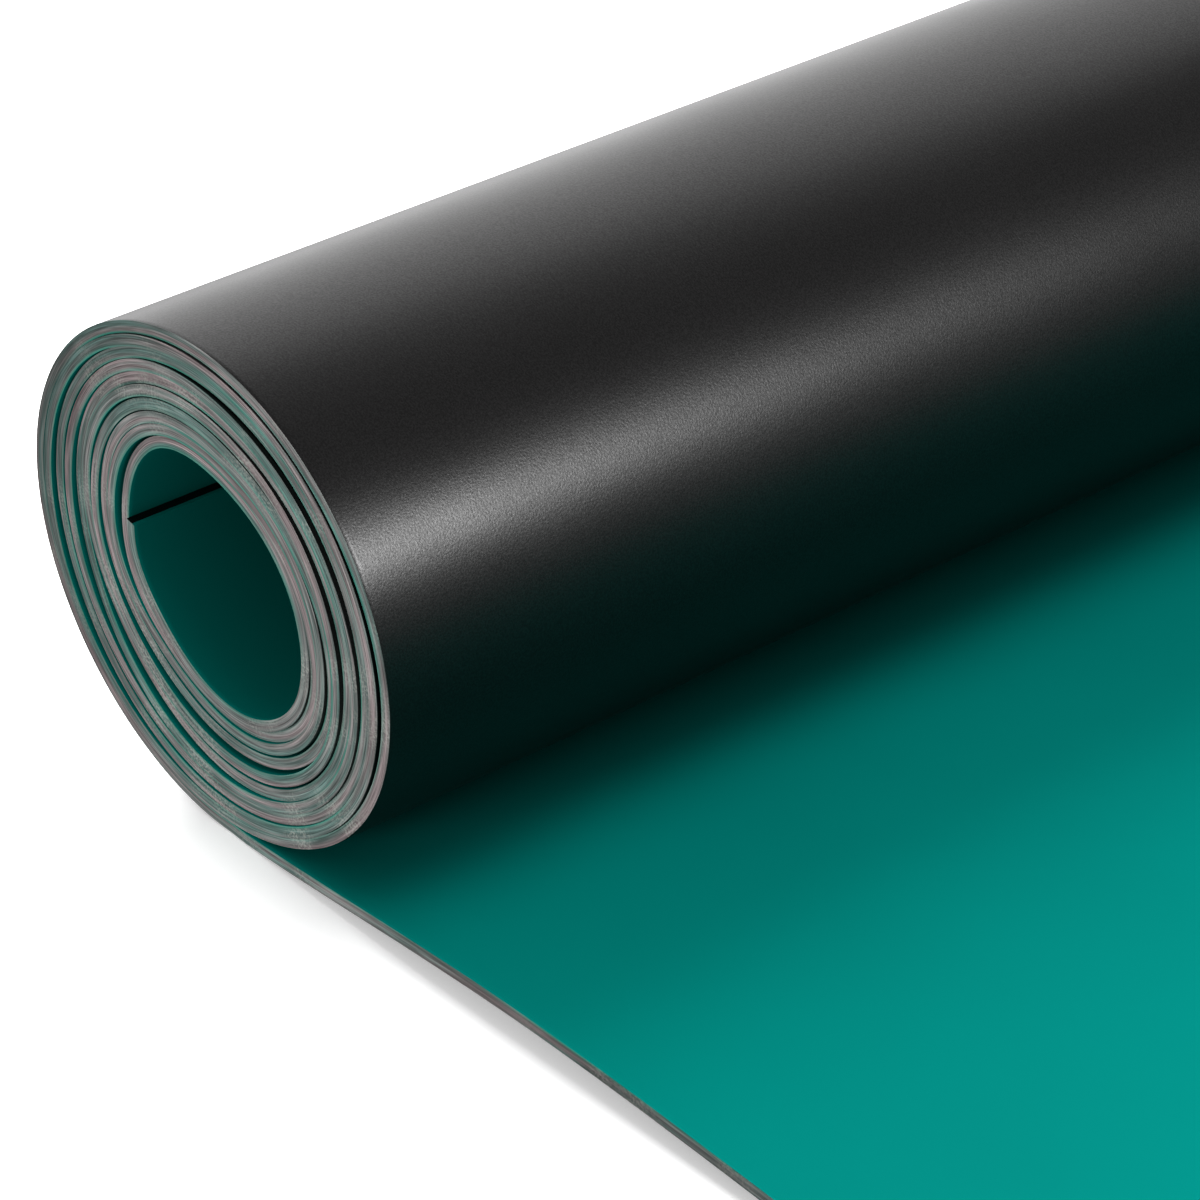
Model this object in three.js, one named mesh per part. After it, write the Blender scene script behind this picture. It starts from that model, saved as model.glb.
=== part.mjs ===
import * as THREE from 'three';

// Anti static bench mat, in mm. One sheet of two rubber layers bonded over their whole area,
// most of it still wound in a roll along Y, its outer end laid out on the bench along +X.

// The sheet
const SHEET_WIDTH = 600;
const SHEET_LENGTH = 2400;
const BASE_THICKNESS = 1.4; // black conductive rubber, on the outside of the roll
const TOP_THICKNESS = 0.6; // green dissipative rubber, the working face

// The roll
const ROLLED_SHARE = 0.917; // of the length, still wound up
const BORE_RADIUS = 22.5; // of the green face at the free inner end, were the roll wound tight
const TURN_GAP = 0.05; // between turns that lie snug

// Where a turn stands off the one outside it. Turn 0 is the outermost, and the angle, in
// degrees, runs from the bottom of the roll along the winding.
const LOOSE_SPOTS = [
  { turn: 0, angle: 80, spread: 75, gap: 0.6 },
  { turn: 0, angle: 262, spread: 55, gap: 0.75 },
  { turn: 1, angle: 65, spread: 95, gap: 0.95 },
  { turn: 1, angle: 206, spread: 56, gap: 0.75 },
  { turn: 2, angle: 60, spread: 105, gap: 0.75 },
  { turn: 2, angle: 195, spread: 40, gap: 0.25 },
  { turn: 3, angle: 55, spread: 90, gap: 0.9 },
  { turn: 4, angle: 35, spread: 65, gap: 0.9 },
  { turn: 5, angle: 10, spread: 85, gap: 0.8 },
  { turn: 5, angle: 125, spread: 60, gap: 0.3 },
  { turn: 5, angle: 218, spread: 75, gap: 0.55 },
  { turn: 6, angle: 10, spread: 80, gap: 1.3 },
  { turn: 6, angle: 110, spread: 60, gap: 0.5 },
  { turn: 7, angle: 35, spread: 120, gap: 1.5 },
  { turn: 8, angle: 115, spread: 60, gap: 0.8 },
  { turn: 9, angle: 62, spread: 38, gap: 0.5 },
];

// The laid-out end lifts off the bench in one low wave beside the roll, then lies flat.
const WAVE_HEIGHT = 4.1;
const WAVE_LENGTH = 198;
const WAVE_LEAN = 0.72; // below 1 leans the crest towards the roll

const STEPS_PER_TURN = 48;
const WAVE_STEPS = 16;

const FULL_TURN = 2 * Math.PI;
const THICKNESS = BASE_THICKNESS + TOP_THICKNESS;
const TURN_PITCH = THICKNESS + TURN_GAP;

// Turns that a length takes up when it is wound at an even pitch around the bore.
function turnsFor(length) {
  const innerRadius = BORE_RADIUS + THICKNESS / 2;
  const root = Math.sqrt(innerRadius ** 2 + (TURN_PITCH * length) / Math.PI);
  return (root - innerRadius) / TURN_PITCH;
}

const TURNS = turnsFor(SHEET_LENGTH * ROLLED_SHARE);
const ROLL_RADIUS = BORE_RADIUS + THICKNESS + TURN_PITCH * TURNS;

// How far the loose spots outside a point of the winding push it towards the bore.
function looseShift(winding) {
  let shift = 0;
  for (const spot of LOOSE_SPOTS) {
    const fromSpot = winding - spot.turn * FULL_TURN - THREE.MathUtils.degToRad(spot.angle);
    const turnsInside = Math.round(fromSpot / FULL_TURN);
    const offset = fromSpot - turnsInside * FULL_TURN;
    const spread = THREE.MathUtils.degToRad(spot.spread);
    if (turnsInside >= 1 && Math.abs(offset) < spread) {
      shift += spot.gap * 0.5 * (1 + Math.cos((Math.PI * offset) / spread));
    }
  }
  return shift;
}

// A point of the wound sheet, a depth in from its black face.
function rollPoint(winding, depth) {
  const outerRadius = ROLL_RADIUS - (TURN_PITCH * winding) / FULL_TURN - looseShift(winding);
  const radius = outerRadius - depth;
  return new THREE.Vector2(-radius * Math.sin(winding), ROLL_RADIUS - radius * Math.cos(winding));
}

// A point of the laid-out sheet, a depth up from its black face.
function laidPoint(x, depth) {
  const along = Math.min(x / WAVE_LENGTH, 1);
  const lift = WAVE_HEIGHT * Math.sin(Math.PI * along ** WAVE_LEAN) ** 2;
  return new THREE.Vector2(x, lift + depth);
}

function pathLength(points) {
  let length = 0;
  for (let i = 1; i < points.length; i += 1) {
    length += points[i].distanceTo(points[i - 1]);
  }
  return length;
}

// One face of the sheet from the laid-out cut edge to the free end in the bore.
function sheetFace(depth, flatLength) {
  const rollSteps = Math.ceil(TURNS * STEPS_PER_TURN);
  const points = [];
  if (flatLength > 0) {
    points.push(laidPoint(WAVE_LENGTH + flatLength, depth));
  }
  for (let i = WAVE_STEPS; i > 0; i -= 1) {
    points.push(laidPoint((WAVE_LENGTH * i) / WAVE_STEPS, depth));
  }
  for (let i = 0; i < rollSteps; i += 1) {
    points.push(rollPoint((FULL_TURN * i) / STEPS_PER_TURN, depth));
  }
  points.push(rollPoint(FULL_TURN * TURNS, depth));
  return points;
}

// What the roll and the wave leave of the sheet lies flat.
const FLAT_LENGTH = SHEET_LENGTH - pathLength(sheetFace(THICKNESS / 2, 0));

// The origin is on the bench, under the middle of the whole shape.
const OUTLINE = new THREE.Box2().setFromPoints(sheetFace(0, FLAT_LENGTH));
const MIDDLE_X = OUTLINE.getCenter(new THREE.Vector2()).x;

function makeLayer(name, fromDepth, toDepth, material) {
  const outer = sheetFace(fromDepth, FLAT_LENGTH);
  const inner = sheetFace(toDepth, FLAT_LENGTH).reverse();
  const section = new THREE.Shape([...outer, ...inner]);
  const geometry = new THREE.ExtrudeGeometry(section, { depth: SHEET_WIDTH, bevelEnabled: false });
  geometry.rotateX(Math.PI / 2);
  geometry.translate(-MIDDLE_X, SHEET_WIDTH / 2, 0);
  const mesh = new THREE.Mesh(geometry, material);
  mesh.name = name;
  return mesh;
}

const blackRubber = new THREE.MeshStandardMaterial({
  color: 0x1e1d1f,
  roughness: 0.55,
  metalness: 0,
});

const greenRubber = new THREE.MeshStandardMaterial({
  color: 0x05695d,
  roughness: 0.5,
  metalness: 0,
});

const group = new THREE.Group();
group.name = 'anti_static_bench_mat';
group.add(makeLayer('conductive_base_layer', 0, BASE_THICKNESS, blackRubber));
group.add(makeLayer('dissipative_top_layer', BASE_THICKNESS, THICKNESS, greenRubber));

export default group;
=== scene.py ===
import math
import bpy
import numpy as np
from mathutils import Matrix, Vector


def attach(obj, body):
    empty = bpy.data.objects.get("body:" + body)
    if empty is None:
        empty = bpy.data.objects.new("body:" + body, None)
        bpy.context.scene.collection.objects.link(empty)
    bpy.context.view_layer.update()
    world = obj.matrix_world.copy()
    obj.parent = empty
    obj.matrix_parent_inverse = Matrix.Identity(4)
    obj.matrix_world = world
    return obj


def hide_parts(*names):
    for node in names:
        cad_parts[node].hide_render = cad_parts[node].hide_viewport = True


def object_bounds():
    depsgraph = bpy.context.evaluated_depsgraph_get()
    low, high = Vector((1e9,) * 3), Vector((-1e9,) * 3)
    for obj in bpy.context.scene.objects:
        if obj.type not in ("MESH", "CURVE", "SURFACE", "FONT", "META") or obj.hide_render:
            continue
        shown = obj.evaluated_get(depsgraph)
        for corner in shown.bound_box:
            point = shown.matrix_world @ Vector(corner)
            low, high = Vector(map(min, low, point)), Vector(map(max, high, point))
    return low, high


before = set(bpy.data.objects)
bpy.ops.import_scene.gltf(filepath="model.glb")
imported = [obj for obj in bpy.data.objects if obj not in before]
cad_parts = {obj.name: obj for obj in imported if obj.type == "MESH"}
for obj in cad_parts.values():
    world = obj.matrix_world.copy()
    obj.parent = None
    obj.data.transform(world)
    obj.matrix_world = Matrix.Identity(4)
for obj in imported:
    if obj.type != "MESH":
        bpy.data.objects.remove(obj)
scene = bpy.context.scene
mm = 0.001
micronsPerMetre = 1e6


def asLists(corners):
    return [[round(v, 5) for v in corner] for corner in corners]


frameSize = asLists(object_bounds())
print("frame loaded, from", frameSize[0], "to", frameSize[1])
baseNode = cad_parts["conductive_base_layer"]
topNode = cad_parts["dissipative_top_layer"]


# The sheet's section, read off the frame

# Past this many radians the outline turns a corner.
sharpTurn = 1.0

# Each step of the outline is divided in this many.
partsPerStep = 3


# The outline of a layer's near end, as (x, z) points in walking order.
def endOutline(node):
    mesh = node.data
    points = np.array([v.co for v in mesh.vertices])
    onEnd = points[:, 1] < points[:, 1].min() + 0.01 * mm
    spots = [tuple(p) for p in np.round(points[:, [0, 2]] * micronsPerMetre).astype(int)]
    edges = set()
    mesh.calc_loop_triangles()
    for triangle in mesh.loop_triangles:
        a, b, c = triangle.vertices
        if onEnd[a] and onEnd[b] and onEnd[c]:
            edges |= {(spots[a], spots[b]), (spots[b], spots[c]), (spots[c], spots[a])}
    following = {a: b for a, b in edges if (b, a) not in edges}
    walk = [next(iter(following))]
    while following[walk[-1]] != walk[0]:
        walk.append(following[walk[-1]])
    return np.array(walk) / micronsPerMetre


# The outline's two long lines, from the laid-out cut edge to the free end in the bore, lower first.
def layerFaces(node):
    outline = endOutline(node)
    ahead = np.roll(outline, -1, axis=0) - outline
    behind = outline - np.roll(outline, 1, axis=0)
    cross = behind[:, 0] * ahead[:, 1] - behind[:, 1] * ahead[:, 0]
    turn = np.arctan2(cross, (behind * ahead).sum(axis=1))
    corners = np.flatnonzero(np.abs(turn) > sharpTurn)
    lines = []
    for first, last in zip(corners, np.roll(corners, -1)):
        around = last + len(outline) if last < first else last
        line = outline[np.arange(first, around + 1) % len(outline)]
        if len(line) > 2:
            lines.append(line if line[0, 0] > line[-1, 0] else line[::-1])
    return sorted(lines, key=lambda line: line[0, 1])


# Fills in smooth points between a line's own, by the same parameter on every line.
def refine(lines, parts):
    step = np.hypot(*np.diff(lines[0], axis=0).T)
    along = np.concatenate([[0], np.cumsum(step)])
    t = (np.arange(parts) / parts)[:, None, None]
    smooth = []
    for line in lines:
        slope = np.gradient(line, along, axis=0)
        a, b = line[:-1], line[1:]
        da, db = slope[:-1] * step[:, None], slope[1:] * step[:, None]
        curve = (2 * t**3 - 3 * t**2 + 1) * a + (t**3 - 2 * t**2 + t) * da
        curve += (3 * t**2 - 2 * t**3) * b + (t**3 - t**2) * db
        smooth.append(np.concatenate([curve.transpose(1, 0, 2).reshape(-1, 2), line[-1:]]))
    return smooth


blackLine, seamLine = layerFaces(baseNode)
greenLine = layerFaces(topNode)[1]
blackLine, seamLine, greenLine = refine([blackLine, seamLine, greenLine], partsPerStep)
blackLine[:, 1] = np.maximum(blackLine[:, 1], 0)

nearY, farY = frameSize[0][1], frameSize[1][1]
rollX = blackLine[blackLine[:, 1].argmax(), 0]
rollZ = blackLine[blackLine[:, 0].argmin(), 1]
rollRadius = rollX - blackLine[:, 0].min()
rollStart = int(np.argmax(blackLine[:, 0] <= rollX + 1 / micronsPerMetre))

# How far each point of the line is wound, in radians, 0 on the laid-out end.
winding = np.unwrap(np.arctan2(rollX - blackLine[:, 0], rollZ - blackLine[:, 1]))
winding -= winding[rollStart]
winding[:rollStart] = 0
onLaidEnd = np.arange(len(winding)) < rollStart
alongSheet = np.concatenate([[0], np.cumsum(np.hypot(*np.diff(blackLine, axis=0).T))])
outward = blackLine - greenLine
sheetThickness = float(np.median(np.hypot(*outward.T)))
outward /= np.hypot(*outward.T)[:, None]
print("section refined to", len(blackLine), "points,", round(winding[-1] / math.tau, 2), "turns")


# How the real roll departs from the frame's even one

unevenness = {
    "lean": (0.7 * mm, -1.8 * mm),   # of the roll's end face, by x and by z
    "leanRun": 60 * mm,              # along the laid-out end, where the lean dies out
    "stagger": 0.3 * mm,             # of one turn's edge beside the next
    "swell": 0.01 * mm,              # slow bulges along the roll
}

# How fast each wave of the stagger runs round the roll, where it starts, and its share.
staggerWaves = [(0.46, 0.4, 1), (1.13, 2.1, 0.7), (2.37, 0.9, 0.4)]

# How fast each wave of the swell runs round the roll and along it, where it starts, and its share.
swellWaves = [(2, 17, 0, 1), (3, -11, 1, 1), (5, 29, 2, 0.6)]


# Where the sheet's edge lies along the roll, for each point of the line.
def edgeOffset():
    x, z = (blackLine - (rollX, rollZ)).T / rollRadius
    leanX, leanZ = unevenness["lean"]
    laid = np.clip((blackLine[:, 0] - rollX) / unevenness["leanRun"], 0, 1)
    lean = np.where(onLaidEnd, -leanZ * (1 - laid) ** 2, leanX * x + leanZ * z)
    wander = sum(share * np.sin(pace * winding + start) for pace, start, share in staggerWaves)
    settle = 1 - np.exp(-winding / 2)
    return lean + unevenness["stagger"] * wander * settle


# How far the roll swells at a point of the line and a place along the roll. Every turn follows.
def swell(y):
    offFloor = (1 - np.cos(winding)) / 2
    waves = sum(
        share * np.sin(around * winding + along * y + start)
        for around, along, start, share in swellWaves
    )
    return unevenness["swell"] * offFloor * waves * ~onLaidEnd


# The two layers

# Where the sheet is divided across its width, in from each end.
columnsIn = [0.9 * mm, 3 * mm, 9 * mm, 25 * mm, 60 * mm, 110 * mm, 170 * mm, 235 * mm]
middleY = (nearY + farY) / 2
edgeShift = edgeOffset()


# One layer as a tube of closed rings, one ring for each point of the line. A ring runs out along
# the layer's open face, round the far cut edge, back along the bond and up the near cut edge.
def makeLayer(piece):
    openLine, bondLine = piece["openLine"], piece["bondLine"]
    soft = piece["softEdge"]
    isTop = openLine is greenLine
    thickness = np.hypot(*(openLine - bondLine).T)[:, None]
    inward = (bondLine - openLine) / thickness
    columns = [nearY + c for c in [soft] + columnsIn] + [middleY]
    columns += [farY - c for c in reversed([soft] + columnsIn)]
    ring = [(y, 0.0) for y in columns]
    deep = float(thickness.mean())

    # The cut edge from the open face to the bond: how far in from the end, and how deep.
    cut = [(0.3 * soft, 0.3 * soft), (0, soft), (0, deep * 0.4), (0, deep * 0.7), (0, deep)]
    ring += [(farY - inset, depth) for inset, depth in cut]
    ring += [(nearY + inset, depth) for inset, depth in reversed(cut)]
    count, ringCount = len(openLine), len(ring)

    points = np.zeros((count, ringCount, 3))
    for j, (y, depth) in enumerate(ring):
        share = np.minimum(depth / thickness, 1)
        place = openLine + inward * thickness * share + outward * swell(y)[:, None]
        points[:, j, 0], points[:, j, 2] = place.T
        points[:, j, 1] = y + edgeShift

    i, j = np.meshgrid(np.arange(count - 1), np.arange(ringCount), indexing="ij")
    after = (j + 1) % ringCount
    here, there = i * ringCount, (i + 1) * ringCount
    quads = np.stack([here + j, here + after, there + after, there + j], axis=-1)
    faces = quads.reshape(-1, 4).tolist()
    faces.append(list(range(ringCount - 1, -1, -1)))
    faces.append([(count - 1) * ringCount + k for k in range(ringCount)])
    if isTop:
        faces = [face[::-1] for face in faces]

    mesh = bpy.data.meshes.new(piece["name"])
    mesh.from_pydata(points.reshape(-1, 3).tolist(), [], faces)
    body = bpy.data.objects.new(piece["name"], mesh)
    scene.collection.objects.link(body)

    # The face takes the layer's own material, and every cut edge the cut one, except the free end's
    # cut in the bore, which takes the face material as painted shade, dark as it lies in shadow.
    mesh.materials.append(piece["face"])
    mesh.materials.append(piece["cut"])
    isCut = np.zeros((count - 1, ringCount), dtype=int)
    isCut[:, len(columns) - 1:] = 1
    isCut[:, len(columns) + len(cut) - 1] = 0
    # The last two faces are the two ends' cuts: the laid-out end takes the cut material, the free end
    # the face material as painted shade.
    mesh.polygons.foreach_set("material_index", isCut.ravel().tolist() + [1, 0])

    # u runs along the sheet, and v over its width on the faces and through it on the cut edges.
    width = np.array([y for y, depth in ring])
    through = np.array([sheetThickness - depth if isTop else depth for y, depth in ring])
    u = np.stack([alongSheet[i], alongSheet[i], alongSheet[i + 1], alongSheet[i + 1]], axis=-1)
    overFace = np.stack([width[j], width[after], width[after], width[j]], axis=-1)
    throughSheet = np.stack([through[j], through[after], through[after], through[j]], axis=-1)
    v = np.where(isCut[..., None] > 0, throughSheet, overFace)
    if isTop:
        u, v = u[..., ::-1], v[..., ::-1]
    flat = np.stack([u, v], axis=-1).reshape(-1, 2).tolist()
    endUv = list(zip(width.tolist(), through.tolist()))
    first, last = endUv[::-1], endUv
    if isTop:
        first, last = first[::-1], last[::-1]
    uv = mesh.uv_layers.new(name="alongTheCut")
    uv.data.foreach_set("uv", np.array(flat + first + last).ravel())

    mesh.shade_smooth()
    mesh.set_sharp_from_angle(angle=math.radians(55))
    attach(body, "root")
    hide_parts(piece["node"])
    print(piece["name"], "made with", len(faces), "faces")


# Materials

def newMaterial(name, look):
    material = bpy.data.materials.new(name)
    material.use_nodes = True
    shader = material.node_tree.nodes["Principled BSDF"]
    shader.inputs["Base Color"].default_value = (*look["colour"], 1)
    shader.inputs["Roughness"].default_value = look["roughness"]
    shader.inputs["Specular IOR Level"].default_value = look["specular"]
    material.diffuse_color = (*look["colour"], 1)
    return material, material.node_tree, shader


# A size in metres as an even noise scale.
def evenly(size):
    return (1 / size,) * 3


def toned(colour, strength):
    return tuple(strength * c for c in colour)


# A noise texture over the given coordinate, stretched by its scale.
def noise(tree, source, scale, detail=3.0):
    mapping = tree.nodes.new("ShaderNodeMapping")
    mapping.inputs["Scale"].default_value = scale
    tree.links.new(source, mapping.inputs["Vector"])
    texture = tree.nodes.new("ShaderNodeTexNoise")
    texture.inputs["Scale"].default_value = 1
    texture.inputs["Detail"].default_value = detail
    tree.links.new(mapping.outputs["Vector"], texture.inputs["Vector"])
    return texture.outputs["Fac"]


# Stretches a band of the values over the range from low to high.
def spread(tree, value, low, high, band=(0.3, 0.7)):
    ranger = tree.nodes.new("ShaderNodeMapRange")
    ranger.inputs["From Min"].default_value = band[0]
    ranger.inputs["From Max"].default_value = band[1]
    ranger.inputs["To Min"].default_value = low
    ranger.inputs["To Max"].default_value = high
    tree.links.new(value, ranger.inputs["Value"])
    return ranger.outputs["Result"]


def blend(tree, factor, first, second):
    mixer = tree.nodes.new("ShaderNodeMix")
    mixer.data_type = "RGBA"
    tree.links.new(factor, mixer.inputs["Factor"])
    for socket, value in ((mixer.inputs["A"], first), (mixer.inputs["B"], second)):
        if isinstance(value, tuple):
            socket.default_value = (*value, 1)
        else:
            tree.links.new(value, socket)
    return mixer.outputs["Result"]


# Darkens or lightens a colour by a value.
def shade(tree, colour, value):
    mixer = tree.nodes.new("ShaderNodeMix")
    mixer.data_type = "RGBA"
    mixer.blend_type = "MULTIPLY"
    mixer.inputs["Factor"].default_value = 1
    tree.links.new(colour, mixer.inputs["A"])
    tree.links.new(value, mixer.inputs["B"])
    return mixer.outputs["Result"]


def product(tree, first, second):
    node = tree.nodes.new("ShaderNodeMath")
    node.operation = "MULTIPLY"
    tree.links.new(first, node.inputs[0])
    tree.links.new(second, node.inputs[1])
    return node.outputs["Value"]


def bump(tree, shader, height, strength, distance):
    node = tree.nodes.new("ShaderNodeBump")
    node.inputs["Strength"].default_value = strength
    node.inputs["Distance"].default_value = distance
    tree.links.new(height, node.inputs["Height"])
    if shader.inputs["Normal"].is_linked:
        tree.links.new(shader.inputs["Normal"].links[0].from_socket, node.inputs["Normal"])
    tree.links.new(node.outputs["Normal"], shader.inputs["Normal"])


def objectCoordinate(tree):
    return tree.nodes.new("ShaderNodeTexCoord").outputs["Object"]


def uvCoordinate(tree):
    node = tree.nodes.new("ShaderNodeUVMap")
    node.uv_map = "alongTheCut"
    return node.outputs["UV"]


blackFace = {
    "colour": (0.0036, 0.0032, 0.0034),
    "mottle": (0.75, 1.3),
    "roughness": 0.32,
    "roughnessRange": (0.31, 0.34),
    "specular": 0.45,
    "specularRange": (0.35, 0.53),
    "grain": 0.36 * mm,
    "grainHeight": 0.035 * mm,
    "speck": 0.3 * mm,
    "cloud": 30 * mm,
}


def makeBlackRubber(look):
    material, tree, shader = newMaterial("black rubber", look)
    place = objectCoordinate(tree)
    grain = noise(tree, place, evenly(look["grain"]), 2)
    speck = noise(tree, place, evenly(look["speck"]), 1)
    cloud = noise(tree, place, evenly(look["cloud"]))
    dark, light = (toned(look["colour"], strength) for strength in look["mottle"])
    tree.links.new(blend(tree, grain, dark, light), shader.inputs["Base Color"])
    rough = spread(tree, cloud, *look["roughnessRange"])
    tree.links.new(rough, shader.inputs["Roughness"])
    shine = spread(tree, speck, *look["specularRange"], (0.35, 0.65))
    tree.links.new(shine, shader.inputs["Specular IOR Level"])
    bump(tree, shader, grain, 0.5, look["grainHeight"])
    return material


greenFace = {
    "colour": (0.0003, 0.205, 0.18),
    "mottle": (0.93, 1.06),
    "roughness": 0.75,
    "roughnessRange": (0.71, 0.79),
    "specular": 0.06,
    "sheen": (0.02, 0.9, 0.85),
    "grain": 0.3 * mm,
    "grainHeight": 0.03 * mm,
    "cloud": 55 * mm,
}


def makeGreenRubber(look):
    material, tree, shader = newMaterial("green rubber", look)
    place = objectCoordinate(tree)
    grain = noise(tree, place, evenly(look["grain"]))
    cloud = noise(tree, place, evenly(look["cloud"]))
    deep, pale = (toned(look["colour"], strength) for strength in look["mottle"])
    tree.links.new(blend(tree, cloud, deep, pale), shader.inputs["Base Color"])
    shader.inputs["Specular Tint"].default_value = (*look["sheen"], 1)
    rough = spread(tree, cloud, *look["roughnessRange"])
    tree.links.new(rough, shader.inputs["Roughness"])
    bump(tree, shader, grain, 0.25, look["grainHeight"])
    return material


blackCut = {
    "colour": (0.16, 0.165, 0.16),
    "roughness": 0.75,
    "specular": 0.25,
    "warm": (0.215, 0.18, 0.182),
    "cool": (0.1, 0.155, 0.143),
    "dusty": (0.36, 0.37, 0.34),
    "greenFrom": 1.25 * mm,     # through the sheet, where the knife starts to draw green over the edge
    "greenTo": 1.95 * mm,
    "green": (0.06, 0.18, 0.15),
}
greenCut = {
    "colour": (0.16, 0.175, 0.165),
    "roughness": 0.7,
    "specular": 0.25,
    "warm": (0.2, 0.175, 0.175),
    "cool": (0.09, 0.17, 0.15),
    "dusty": (0.34, 0.38, 0.34),
    "greenFrom": 1.5 * mm,
    "greenTo": 2.0 * mm,
    "green": (0.01, 0.24, 0.18),
}

# The marks on a cut edge. The first four are noise scales, along the sheet and through it.
cutMarks = {
    "fine": (110, 5200, 1),
    "broad": (40, 1700, 1),
    "tone": (16, 520, 1),
    "stretch": (28, 60, 1),
    "patch": 11 * mm,
    "crumb": 0.42 * mm,
    "fineTones": (0.62, 1.42),
    "fineDepth": 0.08 * mm,
    "broadTones": (0.68, 1.32),
    "broadDepth": 0.15 * mm,
    "streakBand": (0.36, 0.64),
    "mostDust": 0.62,
    "mostGreen": 0.85,
}

# Painted shade: the roll's cut ends are darkened on their outer turns, most on the side away from the
# laid-out end.
paintedEndShade = {
    "brightestPoint": (rollX + 15 * mm, rollZ - 4 * mm),
    "unshadedWithin": 43 * mm,
    "fullShadeBeyond": 60 * mm,
    "darkens": 0.58,
}


# The painted shade's factor: 1 within the unshaded circle round the brightest point, falling to the
# darkest beyond it.
def paintedEndShadeFactor(tree, around):
    mapping = tree.nodes.new("ShaderNodeMapping")
    mapping.inputs["Location"].default_value = (-paintedEndShade["brightestPoint"][0], 0, -paintedEndShade["brightestPoint"][1])
    mapping.inputs["Scale"].default_value = (1, 0, 1)
    tree.links.new(around, mapping.inputs["Vector"])
    reach = tree.nodes.new("ShaderNodeVectorMath")
    reach.operation = "LENGTH"
    tree.links.new(mapping.outputs["Vector"], reach.inputs[0])
    band = (paintedEndShade["unshadedWithin"], paintedEndShade["fullShadeBeyond"])
    return spread(tree, reach.outputs["Value"], 1, paintedEndShade["darkens"], band)


# A knife-cut edge: streaks drawn along the cut in warmer and cooler grey, dust in patches, painted
# shade darkening the outer turns of the roll's ends, and stretches where green is drawn over from the
# green face.
def makeCutRubber(name, look):
    material, tree, shader = newMaterial(name, look)
    place = uvCoordinate(tree)
    fine = noise(tree, place, cutMarks["fine"])
    broad = noise(tree, place, cutMarks["broad"])
    tone = noise(tree, place, cutMarks["tone"])
    tinted = blend(tree, spread(tree, tone, 0, 1, (0.4, 0.6)), look["cool"], look["warm"])
    band = cutMarks["streakBand"]
    streaked = shade(tree, tinted, spread(tree, fine, *cutMarks["fineTones"], band))
    streaked = shade(tree, streaked, spread(tree, broad, *cutMarks["broadTones"], band))

    around = objectCoordinate(tree)
    patch = noise(tree, around, evenly(cutMarks["patch"]), 2)
    crumb = noise(tree, around, evenly(cutMarks["crumb"]), 4)
    patches = spread(tree, patch, 0, 1, (0.52, 0.66))
    crumbs = spread(tree, crumb, 0, cutMarks["mostDust"], (0.44, 0.64))
    dustAndPaintedShade = blend(tree, product(tree, patches, crumbs), streaked, look["dusty"])
    # Painted shade: the outer turns, away from the laid-out end, are darkened.
    dustAndPaintedShade = shade(tree, dustAndPaintedShade, paintedEndShadeFactor(tree, around))

    split = tree.nodes.new("ShaderNodeSeparateXYZ")
    tree.links.new(place, split.inputs["Vector"])
    band = (look["greenFrom"], look["greenTo"])
    greener = spread(tree, split.outputs["Y"], 0, cutMarks["mostGreen"], band)
    stretch = noise(tree, place, cutMarks["stretch"], 2)
    stretches = spread(tree, stretch, 0.12, 1, (0.42, 0.62))
    drawn = blend(tree, product(tree, greener, stretches), dustAndPaintedShade, look["green"])
    tree.links.new(drawn, shader.inputs["Base Color"])
    bump(tree, shader, fine, 0.6, cutMarks["fineDepth"])
    bump(tree, shader, broad, 0.4, cutMarks["broadDepth"])
    return material


blackRubber = makeBlackRubber(blackFace)
greenRubber = makeGreenRubber(greenFace)
blackCutEdge = makeCutRubber("cut black rubber", blackCut)
greenCutEdge = makeCutRubber("cut green rubber", greenCut)
print("materials made")

makeLayer({
    "name": "blackBaseLayer",
    "node": "conductive_base_layer",
    "slot": "black_rubber",
    "openLine": blackLine,
    "bondLine": seamLine,
    "softEdge": 0.08 * mm,
    "face": blackRubber,
    "cut": blackCutEdge,
})
makeLayer({
    "name": "greenTopLayer",
    "node": "dissipative_top_layer",
    "slot": "green_rubber",
    "openLine": greenLine,
    "bondLine": seamLine,
    "softEdge": 0.05 * mm,
    "face": greenRubber,
    "cut": greenCutEdge,
})


# Floor, light and camera

white = (1, 1, 1, 1)
paleFloor = {
    "colour": (0.9, 0.9, 0.9),
    "roughness": 0.9,
    "specular": 0.2,
    "glow": 0.3,
    "halfWidth": 6,
    "under": 0.1 * mm,      # below the mat, so that the two faces don't mix
}


# The floor shows under the mat, but throws no light or reflection back on it.
def makeFloor(look):
    half = look["halfWidth"]
    mesh = bpy.data.meshes.new("floor")
    corners = [(-half, -half, 0), (half, -half, 0), (half, half, 0), (-half, half, 0)]
    mesh.from_pydata(corners, [], [(0, 1, 2, 3)])
    floor = bpy.data.objects.new("floor", mesh)
    scene.collection.objects.link(floor)
    floor.location.z = -look["under"]
    floor.visible_glossy = False
    floor.visible_diffuse = False
    material, tree, shader = newMaterial("pale floor", look)
    shader.inputs["Emission Color"].default_value = white
    shader.inputs["Emission Strength"].default_value = look["glow"]
    mesh.materials.append(material)


makeFloor(paleFloor)

# The lights are aimed at the roll's near end, which fills the picture. One that isn't reflected
# doesn't show in the rubber's shine, and one that isn't scattered shows in nothing else.
litPoint = Vector((rollX + 40 * mm, nearY + 45 * mm, rollZ))

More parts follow.
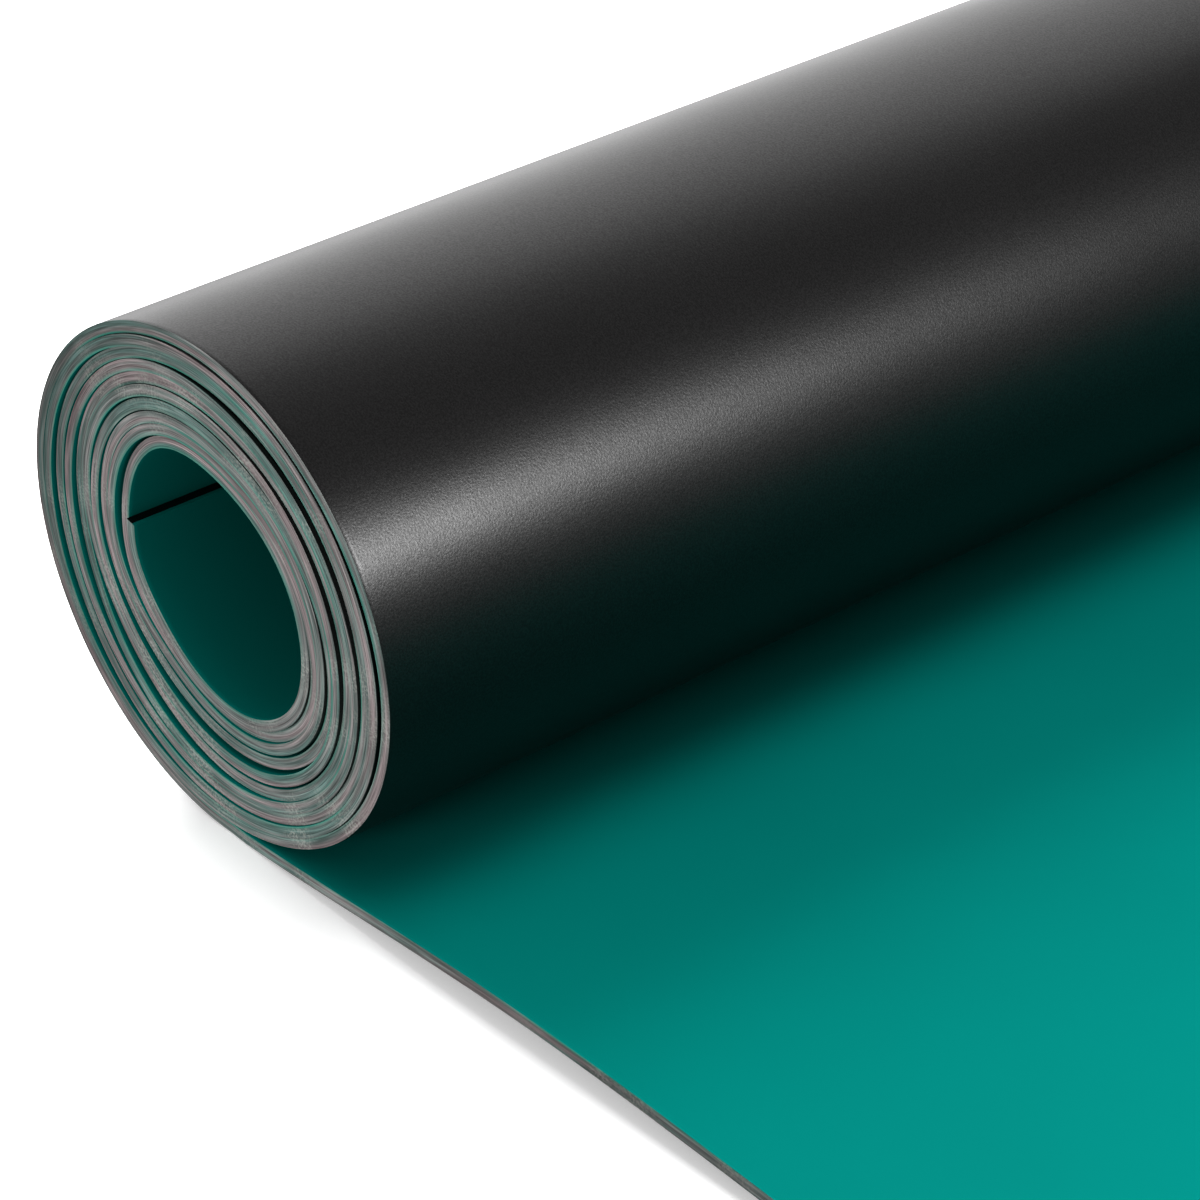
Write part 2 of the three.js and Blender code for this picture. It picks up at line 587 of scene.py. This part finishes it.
softboxes = [
    {
        "name": "overhead key",
        "azimuth": 143,
        "elevation": 81,
        "distance": 1.4,
        "size": (0.8, 0.8),
        "power": 9,
        "reflected": False,
    },
    {
        "name": "front fill",
        "azimuth": -2,
        "elevation": 3,
        "distance": 1.5,
        "size": (0.5, 0.5),
        "power": 17,
    },
    {
        "name": "wide panel, left",
        "azimuth": 252,
        "elevation": 35,
        "distance": 1.6,
        "size": (1.0, 1.2),
        "power": 38,
        "reflected": False,
    },
    {
        "name": "wide panel, behind left",
        "azimuth": 222,
        "elevation": 19,
        "distance": 2.0,
        "size": (2.6, 2.6),
        "power": 25,
    },
    {
        "name": "strip, behind right",
        "azimuth": 115,
        "elevation": 23,
        "distance": 1.5,
        "size": (0.32, 0.36),
        "power": 13,
        "scattered": False,
    },
]


# Azimuth 0 is on the camera's side of the roll, along -Y, and 90 is out over the laid-out end.
def makeSoftbox(box):
    a, e = math.radians(box["azimuth"]), math.radians(box["elevation"])
    away = Vector((math.sin(a) * math.cos(e), -math.cos(a) * math.cos(e), math.sin(e)))
    data = bpy.data.lights.new(box["name"], "AREA")
    data.shape = "RECTANGLE"
    data.size, data.size_y = box["size"]
    data.energy = box["power"]
    light = bpy.data.objects.new(box["name"], data)
    light.visible_diffuse = box.get("scattered", True)
    light.visible_glossy = box.get("reflected", True)
    scene.collection.objects.link(light)
    light.location = litPoint + away * box["distance"]
    light.rotation_euler = away.to_track_quat("Z", "Y").to_euler()


for box in softboxes:
    makeSoftbox(box)

surroundings = bpy.data.worlds.new("studio")
surroundings.use_nodes = True
background = surroundings.node_tree.nodes["Background"]
background.inputs["Color"].default_value = white
background.inputs["Strength"].default_value = 0.4
scene.world = surroundings
scene.view_settings.view_transform = "Standard"
scene.view_settings.look = "Medium High Contrast"

# The photograph's camera, by the point at the middle of the picture.
photoView = {
    "aim": (rollX + 39.9 * mm, nearY + 45.8 * mm, 44.0 * mm),
    "azimuth": 49.88,
    "elevation": 30.74,
    "roll": -0.6,
    "distance": 725.7 * mm,
    "lens": 140.5,
}


def makeCamera(view):
    a, e = math.radians(view["azimuth"]), math.radians(view["elevation"])
    back = Vector((math.sin(a) * math.cos(e), -math.cos(a) * math.cos(e), math.sin(e)))
    data = bpy.data.cameras.new("photo camera")
    data.lens = view["lens"]
    data.sensor_width = 36
    data.clip_start = 0.01
    camera = bpy.data.objects.new("photo camera", data)
    scene.collection.objects.link(camera)
    level = back.to_track_quat("Z", "Y").to_matrix()
    camera.matrix_world = (
        Matrix.Translation(Vector(view["aim"]) + back * view["distance"])
        @ (level @ Matrix.Rotation(math.radians(view["roll"]), 3, "Z")).to_4x4()
    )
    scene.camera = camera


makeCamera(photoView)
print("floor, lights and camera set")
